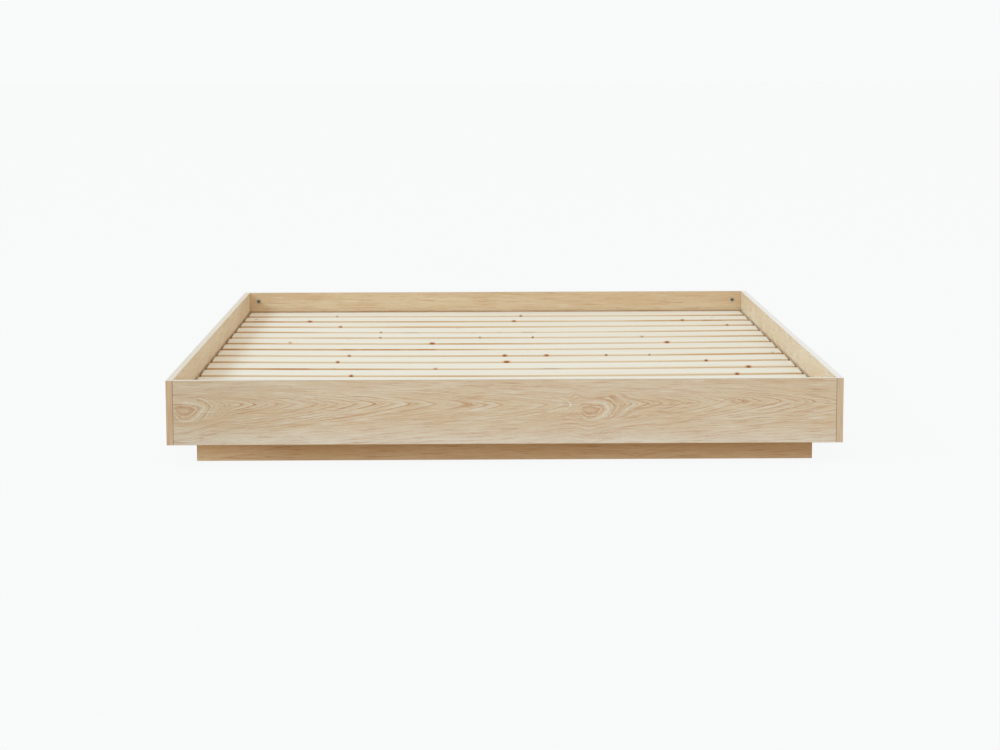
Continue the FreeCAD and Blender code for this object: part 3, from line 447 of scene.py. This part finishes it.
def pine(name, along, seed, knots=(), tone_and_painted_shade=(1.0, 1.0, 1.0)):
    """Planed pine with its grain along X, Y or Z, and with these knots."""
    paint = Paint(name, IOR=1.4)
    spans = {"x": (1.2, 150, 150), "y": (150, 1.2, 150), "z": (150, 150, 1.2)}[along]
    fibres = tuple(6 * span for span in spans)
    broad = tuple(max(span / 12, 1.6) for span in spans)
    short = tuple(max(span / 3, 14.0) for span in spans)
    face_x, face_y, face_z = facing(paint)
    end_face = {"x": face_x, "y": face_y, "z": face_z}[along]
    side_face = {"x": face_y, "y": face_x, "z": face_x}[along]

    grain = paint.noise(paint.spot, spans, seed, detail=2.0, roughness=0.6)
    fibre = paint.noise(paint.spot, fibres, seed + 1, detail=2.0)
    patch = paint.noise(paint.spot, broad, seed + 2, detail=1.0)
    ripple = paint.noise(paint.spot, short, seed + 3, detail=2.0)
    resin = paint.smooth(patch, 0.58, 0.70) * paint.smooth(ripple, 0.42, 0.60)
    # Painted shade: brown patches on the side faces, for the shade in the gaps between the slats.
    painted_gap_shade = paint.smooth(patch, 0.36, 0.28) * paint.smooth(ripple, 0.5, 0.62)

    colour = paint.mix(paint.smooth(grain, 0.46, 0.72) * 0.75, PINE["early"], PINE["late"])
    edge = paint.mix(paint.smooth(patch, 0.42, 0.62), PINE["edge"], PINE["tan"])
    edge = paint.mix(resin * 0.9, edge, PINE["orange"])
    edge = paint.mix(painted_gap_shade * 0.3, edge, PINE["painted_gap_shade"])
    colour = paint.mix(paint.smooth(side_face, 0.5, 0.9), colour, edge)
    colour = paint.mix(paint.smooth(end_face, 0.5, 0.9), colour, PINE["end"])
    colour = paint.mix(paint.smooth(fibre, 0.55, 0.75) * 0.25, colour, PINE["late"])
    colour = knots_on(paint, colour, grain, knots)
    colour = pin_knots_on(paint, colour, along, seed)
    # A real tone for the dowels; painted shade on the ledgers and battens.
    colour = paint.mix(1.0, colour, tone_and_painted_shade, blend="MULTIPLY")
    return paint.finish(colour, 0.55 + 0.2 * fibre, fibre + grain, 0.00015)


def metal(name, base, worn, roughness, seed):
    """Plated metal with fine scratches and cloudy wear."""
    paint = Paint(name, Metallic=1.0)
    scratch = paint.noise(paint.spot, (900, 900, 5000), seed, detail=3.0)
    cloud = paint.noise(paint.spot, (160, 160, 160), seed + 1, detail=3.0)
    colour = paint.mix(paint.smooth(cloud, 0.4, 0.7), base, worn)
    gloss = roughness + 0.25 * (scratch - 0.5) + 0.2 * (cloud - 0.5)
    return paint.finish(colour, gloss, scratch, 0.00003)


def cam_metal(name):
    """Die-cast zinc, matt on its face, with its cross recess darkened: a little grime, mostly painted
    shade.
    """
    low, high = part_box("cam_head_right_upper")
    lower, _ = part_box("cam_head_right_lower")
    middle = (low + high) / 2
    half_spread = (low.z - lower.z) / 2
    paint = Paint(name, Metallic=1.0)
    x, _, z = paint.split(paint.spot)
    from_axis_x = paint.math("ABSOLUTE", x) - middle.x
    from_axis_z = paint.math("ABSOLUTE", z - (middle.z - half_spread)) - half_spread
    radius = paint.math("SQRT", from_axis_x * from_axis_x + from_axis_z * from_axis_z)
    cloud = paint.noise(paint.spot, (500, 500, 500), 3, detail=3.0)
    # Painted shade with a little grime: the cross recess is darkened almost to black.
    grime_and_painted_shade = 1.0 - paint.smooth(radius + (cloud - 0.5) * 0.003, 0.0026, 0.0040)
    zinc = paint.mix(cloud, tone(172, 168, 154), tone(206, 202, 190))
    colour = paint.mix(grime_and_painted_shade * 0.9, zinc, tone(52, 44, 38))
    return paint.finish(colour, 0.38 + 0.3 * cloud, cloud, 0.00005)


def webbing(name):
    """Woven tape with fine ribs, a little soiled."""
    paint = Paint(name, Roughness=0.85, Sheen_Weight=0.3)
    x, y, _ = paint.split(paint.spot)
    ribs = paint.math("SINE", y * (2 * math.pi / 0.0014))
    warp = paint.math("SINE", x * (2 * math.pi / 0.0011))
    weave = ribs * warp * 0.5 + 0.5
    soil = paint.noise(paint.spot, (60, 30, 60), 5, detail=3.0)
    colour = paint.mix(weave, tone(196, 192, 182), tone(232, 229, 220))
    colour = paint.mix(paint.smooth(soil, 0.5, 0.75) * 0.35, colour, tone(184, 172, 150))
    return paint.finish(colour, None, weave, 0.0002)


# ---- slats, tapes and staples ----

SLATS = sorted(name for name in NODES if name.startswith("slat_"))
BOXES = {name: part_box(name) for name in SLATS}
ROUNDING = 0.0025
CORNER_STEPS = 4
SLAT_STATIONS = 48
END_CHAMFER = 0.0007

# Each slat's sag, sideways bend and tilt at mid-span, in millimetres and milliradians.
BENDS = [(0.3, 0.5, 0), (1.0, 0.6, 4), (1.8, -1.0, -5), (3.6, 1.2, 6), (2.9, 0.8, -4),
         (3.0, -0.8, 5), (3.4, 0.6, -5), (3.3, 1.4, 7), (3.7, 0.4, -3), (3.5, -0.6, 6),
         (3.5, 0.7, 5), (3.0, -0.5, -4), (2.4, 0.9, 5), (1.6, -0.7, -3), (0.9, 0.4, 2)]
LEDGER_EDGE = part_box("right_ledger")[0].x


def bend_of(name, x):
    """How far a slat is bent down and sideways at x, and how much it is tilted there."""
    sag, crook, tilt = BENDS[SLATS.index(name)]
    share = max(0.0, 1 - (x / LEDGER_EDGE) ** 2)
    return 0.001 * sag * share, 0.001 * crook * share, 0.001 * tilt * share


def rounded_section(width, height, radius):
    """Points round a rectangle with rounded corners."""
    points = []
    for corner, (side_y, side_z) in enumerate(((1, 1), (-1, 1), (-1, -1), (1, -1))):
        for step in range(CORNER_STEPS + 1):
            angle = math.radians(90 * (corner + step / CORNER_STEPS))
            points.append((side_y * (width / 2 - radius) + radius * math.cos(angle),
                           side_z * (height / 2 - radius) + radius * math.sin(angle)))
    return points


def lofted(name, rings):
    """A closed mesh through rings of points, with a flat cap at each end."""
    count = len(rings[0])
    points = [point for ring in rings for point in ring]
    faces = [tuple(reversed(range(count)))]
    for start in range(0, len(points) - count, count):
        for index in range(count):
            after = (index + 1) % count
            faces.append((start + index, start + after, start + count + after,
                          start + count + index))
    faces.append(tuple(range(len(points) - count, len(points))))
    mesh = bpy.data.meshes.new(name)
    mesh.from_pydata(points, [], faces)
    mesh.validate()
    thing = bpy.data.objects.new(name, mesh)
    bpy.context.scene.collection.objects.link(thing)
    return thing


def slat(name):
    """A bowed slat with rounded edges, lying on the ledgers where its CAD block lies."""
    low, high = BOXES[name]
    middle, size = (low + high) / 2, high - low
    section = rounded_section(size.y, size.z, ROUNDING)
    inset = rounded_section(size.y - 2 * END_CHAMFER, size.z - 2 * END_CHAMFER, ROUNDING)
    full_length = size.x - 2 * END_CHAMFER
    xs = [full_length * (station / SLAT_STATIONS - 0.5) for station in range(SLAT_STATIONS + 1)]
    stations = [(low.x, inset)] + [(x, section) for x in xs] + [(high.x, inset)]
    rings = []
    for x, outline in stations:
        sag, crook, tilt = bend_of(name, x)
        rings.append([(x, middle.y + y + crook, middle.z + z - sag + tilt * y)
                      for y, z in outline])
    thing = lofted(f"{name}_bowed", rings)
    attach(thing, "root")
    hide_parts(name)
    return thing


CLOSE = 1e-6


def slat_at(y):
    """The slat over a place along the bed, or None between slats."""
    for name in SLATS:
        low, high = BOXES[name]
        if low.y - CLOSE <= y <= high.y + CLOSE:
            return name
    return None


TAPE_STEP = 0.006
TAPE_DROOP = 0.003


def tape(name):
    """Webbing tape that follows the undersides of the slats and droops a little between them."""
    low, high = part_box(name)
    x, width, thick = (low.x + high.x) / 2, high.x - low.x, high.z - low.z
    section = rounded_section(width, thick, thick * 0.45)
    spans = []
    for slat_name in reversed(SLATS):
        slat_low, slat_high = BOXES[slat_name]
        sag, _, tilt = bend_of(slat_name, x)
        for edge, side in ((slat_low.y, -1), (slat_high.y, 1)):
            depth = sag - tilt * side * (slat_high.y - slat_low.y) / 2
            spans.append((edge, high.z - depth))
    rings = []
    for (start, start_z), (end, end_z) in zip(spans, spans[1:]):
        open_span = slat_at((start + end) / 2) is None
        steps = max(2, round((end - start) / TAPE_STEP))
        for step in range(steps):
            share = step / steps
            droop = TAPE_DROOP * math.sin(math.pi * share) ** 2 if open_span else 0.0
            z = start_z + (end_z - start_z) * share - droop - thick / 2
            rings.append([(x + across, start + (end - start) * share, z + up)
                          for across, up in reversed(section)])
    last_y, last_z = spans[-1]
    rings.append([(x + across, last_y, last_z - thick / 2 + up) for across, up in reversed(section)])
    thing = lofted(f"{name}_woven", rings)
    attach(thing, "root")
    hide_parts(name)
    return thing


def staples():
    """The staples, each moved down with the slat that it holds the tape to."""
    source = NODES["tape_staples"]
    thing = bpy.data.objects.new("tape_staples_fitted", source.data.copy())
    bpy.context.scene.collection.objects.link(thing)
    for vertex in thing.data.vertices:
        name = slat_at(vertex.co.y)
        low, high = BOXES[name]
        sag, _, tilt = bend_of(name, vertex.co.x)
        vertex.co.z -= sag - tilt * (vertex.co.y - (low.y + high.y) / 2)
    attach(thing, "root")
    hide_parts("tape_staples")
    return thing


# ---- dressing the object ----

def dress(thing, material):
    """Give an object one material in place of whatever it came with."""
    thing.data.materials.clear()
    thing.data.materials.append(material)


def ease_edges(thing, width):
    """Round a board's sharp edges a little, as a worn edge or a band's trimmed edge is."""
    weld = thing.modifiers.new("Weld", "WELD")
    weld.merge_threshold = CLOSE
    bevel = thing.modifiers.new("EasedEdges", "BEVEL")
    bevel.width = width
    bevel.segments = 2
    bevel.limit_method = "ANGLE"
    bevel.angle_limit = math.radians(50)
    bevel.harden_normals = True


# Larger knots, by slat: x, distance behind the slat's front edge, half length, darkness.
KNOTS = {
    "slat_01": [(-0.495, 0.000, 0.005, 0.5), (0.077, 0.000, 0.006, 0.8)],
    "slat_02": [(-0.738, 0.044, 0.007, 0.8), (-0.571, 0.000, 0.010, 1.0), (0.053, 0.000, 0.009, 0.8),
                (0.569, 0.004, 0.008, 0.8), (0.665, 0.050, 0.006, 0.5)],
    "slat_03": [(-0.470, 0.000, 0.007, 0.7), (0.692, 0.000, 0.006, 0.8)],
    "slat_04": [(-0.344, 0.000, 0.005, 0.7), (-0.119, 0.088, 0.006, 0.4)],
    "slat_05": [(-0.341, 0.000, 0.004, 0.7), (0.100, 0.000, 0.005, 0.9), (-0.053, 0.000, 0.006, 0.5),
                (0.416, 0.000, 0.008, 0.4)],
    "slat_06": [(-0.592, 0.010, 0.008, 0.9), (-0.189, 0.000, 0.010, 1.0), (0.478, 0.000, 0.010, 1.0)],
    "slat_08": [(-0.411, 0.000, 0.007, 0.7), (0.408, 0.000, 0.004, 0.6), (0.746, 0.008, 0.006, 0.7),
                (0.013, 0.000, 0.009, 1.0), (0.127, 0.000, 0.009, 0.9), (0.290, 0.000, 0.006, 0.7)],
    "slat_09": [(-0.435, 0.000, 0.007, 1.0), (0.016, 0.000, 0.011, 1.0), (0.550, 0.000, 0.006, 1.0)],
    "slat_10": [(-0.172, 0.000, 0.008, 0.5), (0.648, 0.000, 0.010, 1.0)],
    "slat_11": [(-0.386, 0.000, 0.008, 1.0), (0.603, 0.000, 0.009, 1.0)],
    "slat_13": [(0.210, 0.030, 0.009, 0.9), (-0.520, 0.070, 0.007, 0.7)],
    "slat_14": [(-0.240, 0.060, 0.010, 1.0)],
    "slat_15": [(0.430, 0.050, 0.008, 0.8)],
}

# Each foil board's grain direction, an eye's place and height, seed, shade (the foil's own tone, with
# painted light and shade on some boards), how bold the print is outside and inside, how dark its raw
# ends look, and how painted light and shade change its low end's tone.
SIDE = (0.91, 0.95, 1.0)
# Painted shade: the plinth boards are the rails' foil, darkened and warmed for the shade under the
# rails.
PLINTH_PAINTED_SHADE = (0.81, 0.71, 0.62)
BOARDS = {
    # Painted light: the foot rail is lighter and bluer than the other boards, with painted shade towards
    # its left end.
    "foot_rail": ("x", -0.749, 0.1305, 1, (0.96, 1.03, 1.17), (1.0, 0.3), 0.75,
                  (0.45, (0.90, 0.89, 0.86))),
    # Painted shade: the head rail's foil is darkened.
    "head_rail": ("x", -0.300, 0.108, 2, (0.86, 0.84, 0.80), (1.0, 0.6), 0.2),
    "left_side_rail": ("y", 0.250, 0.112, 3, SIDE, (1.0, 0.1), 0.3),
    "right_side_rail": ("y", -0.650, 0.150, 4, SIDE, (1.0, 0.1), 0.3),
    # Painted light: the plinth front is paler towards its left end, where side light reaches in under
    # the rail.
    "plinth_front": ("x", 0.310, 0.075, 5, PLINTH_PAINTED_SHADE, (0.6, 0.4), 0.3,
                     (0.24, (1.24, 1.36, 1.50))),
    "plinth_rear": ("x", -0.110, 0.060, 6, PLINTH_PAINTED_SHADE, (0.6, 0.4), 0.3),
    "plinth_left": ("y", 0.420, 0.070, 7, PLINTH_PAINTED_SHADE, (0.6, 0.4), 0.3),
    "plinth_right": ("y", -0.380, 0.055, 8, PLINTH_PAINTED_SHADE, (0.6, 0.4), 0.3),
    "plinth_centre": ("y", 0.100, 0.080, 9, SIDE, (0.5, 0.5), 0.3),
}
# Each edge band's tone on the long edges and on the ends; the left side rail's darker band and the right
# side rail's paler band are painted shade and painted light.
BANDS = {
    "head_rail_edge_band": (tone(236, 232, 222), tone(228, 198, 164)),
    "foot_rail_edge_band": (tone(236, 232, 222), tone(228, 198, 164)),
    "left_side_rail_edge_band": (tone(231, 221, 203), tone(228, 198, 166)),
    "right_side_rail_edge_band": (tone(247, 244, 240), tone(234, 212, 182)),
}
# How far the pieces' sharp edges are rounded.
BOARD_EASE = 0.0005
BAND_EASE = 0.0003
BATTEN_EASE = 0.0015
BLOCK_EASE = 0.0010


def dress_boards():
    for name, looks in BOARDS.items():
        dress(NODES[name], oak_foil(name, *looks))
        ease_edges(NODES[name], BOARD_EASE)
    for seed, (name, (top, end)) in enumerate(BANDS.items(), start=20):
        dress(NODES[name], edge_band(f"band_{name}", top, end, seed))
        ease_edges(NODES[name], BAND_EASE)


def dress_pine():
    for seed, name in enumerate(SLATS, start=40):
        front = BOXES[name][0].y
        knots = [(x, front + back, half, darkness)
                 for x, back, half, darkness in KNOTS.get(name, ())]
        dress(slat(name), pine(f"pine_{name}", "x", seed, knots))
    # Painted shade: the ledgers and battens are darkened so that the slots at the slats' ends look dark.
    for seed, (name, along) in enumerate((("left_ledger", "y"), ("right_ledger", "y"),
                                          ("head_batten", "x"), ("foot_batten", "x")), start=60):
        dress(NODES[name], pine(f"pine_{name}", along, seed, tone_and_painted_shade=tone(182, 156, 130)))
        ease_edges(NODES[name], BATTEN_EASE)
    for seed, name in enumerate(sorted(n for n in NODES if n.startswith("corner_block_")
                                       and n != "corner_block_screws"), start=70):
        dress(NODES[name], pine(f"pine_{name}", "z", seed))
        ease_edges(NODES[name], BLOCK_EASE)
    dress(NODES["rail_dowels"], pine("beech_dowels", "x", 80, tone_and_painted_shade=tone(222, 200, 176)))


def dress_hardware():
    steel = metal("zinc_plated_steel", tone(186, 188, 190), tone(150, 150, 146), 0.35, 90)
    for name in ("cam_bolts", "rail_screws", "plinth_screws", "corner_block_screws",
                 "bracket_screws", "front_bracket", "rear_bracket"):
        dress(NODES[name], steel)
    dress(staples(), steel)
    zinc = cam_metal("cam_zinc")
    for name in NODES:
        if name.startswith("cam_head") or name.startswith("cam_foot"):
            dress(NODES[name], zinc)
    woven = webbing("woven_webbing")
    for name in ("left_slat_tape", "right_slat_tape"):
        dress(tape(name), woven)


# ---- studio ----

WHITE = (0.947, 0.956, 0.956)
# The light that the floor throws up onto the bed.
FLOOR_GLOW = (0.536, 0.451, 0.327)
# How bright the floor looks by itself, how much light it takes besides, and how far it reaches.
FLOOR_SEEN = 0.962
FLOOR_CATCH = 0.035
FLOOR_HALF = 60.0


def floor():
    """A wide pale floor that shows white and catches only a faint shadow."""
    mesh = bpy.data.meshes.new("studio_floor")
    half = FLOOR_HALF
    mesh.from_pydata([(-half, -half, 0), (half, -half, 0), (half, half, 0), (-half, half, 0)],
                     [], [(0, 1, 2, 3)])
    thing = bpy.data.objects.new("studio_floor", mesh)
    bpy.context.scene.collection.objects.link(thing)
    material = bpy.data.materials.new("studio_floor")
    material.use_nodes = True
    nodes, links = material.node_tree.nodes, material.node_tree.links
    nodes.clear()
    output = nodes.new("ShaderNodeOutputMaterial")
    glow = nodes.new("ShaderNodeEmission")
    glow.inputs["Color"].default_value = (*WHITE, 1)
    glow.inputs["Strength"].default_value = FLOOR_SEEN
    matt = nodes.new("ShaderNodeBsdfDiffuse")
    matt.inputs["Color"].default_value = (FLOOR_CATCH, FLOOR_CATCH, FLOOR_CATCH, 1)
    seen = nodes.new("ShaderNodeAddShader")
    bounce = nodes.new("ShaderNodeEmission")
    bounce.inputs["Color"].default_value = (*FLOOR_GLOW, 1)
    path = nodes.new("ShaderNodeLightPath")
    choice = nodes.new("ShaderNodeMixShader")
    links.new(glow.outputs[0], seen.inputs[0])
    links.new(matt.outputs[0], seen.inputs[1])
    links.new(path.outputs["Is Camera Ray"], choice.inputs[0])
    links.new(bounce.outputs[0], choice.inputs[1])
    links.new(seen.outputs[0], choice.inputs[2])
    links.new(choice.outputs[0], output.inputs[0])
    mesh.materials.append(material)


AMBIENT = (0.807, 0.777, 0.723)


def sky():
    """Even light from all round; the camera sees it as the white backdrop."""
    world = bpy.data.worlds.new("studio")
    bpy.context.scene.world = world
    world.use_nodes = True
    nodes, links = world.node_tree.nodes, world.node_tree.links
    nodes.clear()
    output = nodes.new("ShaderNodeOutputWorld")
    backdrop = nodes.new("ShaderNodeBackground")
    backdrop.inputs["Color"].default_value = (*WHITE, 1)
    ambient = nodes.new("ShaderNodeBackground")
    ambient.inputs["Color"].default_value = (*AMBIENT, 1)
    path = nodes.new("ShaderNodeLightPath")
    choice = nodes.new("ShaderNodeMixShader")
    links.new(path.outputs["Is Camera Ray"], choice.inputs[0])
    links.new(ambient.outputs[0], choice.inputs[1])
    links.new(backdrop.outputs[0], choice.inputs[2])
    links.new(choice.outputs[0], output.inputs[0])


def softbox(name, towards, distance, size, power, colour):
    """A square area light that shines at the bed's middle from the given direction."""
    light = bpy.data.lights.new(name, "AREA")
    light.shape = "SQUARE"
    light.size = size
    light.energy = power
    light.color = colour
    lamp = bpy.data.objects.new(name, light)
    bpy.context.scene.collection.objects.link(lamp)
    direction = Vector(towards).normalized()
    lamp.location = Vector((0, 0, 0.1)) + direction * distance
    lamp.rotation_mode = "QUATERNION"
    lamp.rotation_quaternion = direction.to_track_quat("Z", "Y")


def camera():
    """The photo's viewpoint: low, a little left of the middle, beyond the foot end."""
    pitch, yaw, roll = math.radians(7.604), math.radians(0.694), math.radians(-0.149)
    forward = Vector((math.sin(yaw) * math.cos(pitch), math.cos(yaw) * math.cos(pitch),
                      -math.sin(pitch)))
    data = bpy.data.cameras.new("camera")
    data.sensor_width = 36.0
    data.lens = 88.75
    data.clip_start, data.clip_end = 0.1, 200.0
    thing = bpy.data.objects.new("camera", data)
    bpy.context.scene.collection.objects.link(thing)
    right = forward.cross(Vector((0, 0, 1))).normalized()
    up = right.cross(forward)
    side = math.cos(roll) * right + math.sin(roll) * up
    top = math.cos(roll) * up - math.sin(roll) * right
    place = Vector((-0.0809, -6.7222, 0.9697))
    turn = Matrix((side, top, -forward)).transposed()
    thing.matrix_world = Matrix.Translation(place) @ turn.to_4x4()
    bpy.context.scene.camera = thing


dress_boards()
dress_pine()
dress_hardware()
floor()
sky()
softbox("key", (-0.86, -0.42, 0.645), 12.0, 3.0, 645.0, (0.50, 0.75, 1.0))
camera()
bpy.context.scene.view_settings.view_transform = "Standard"
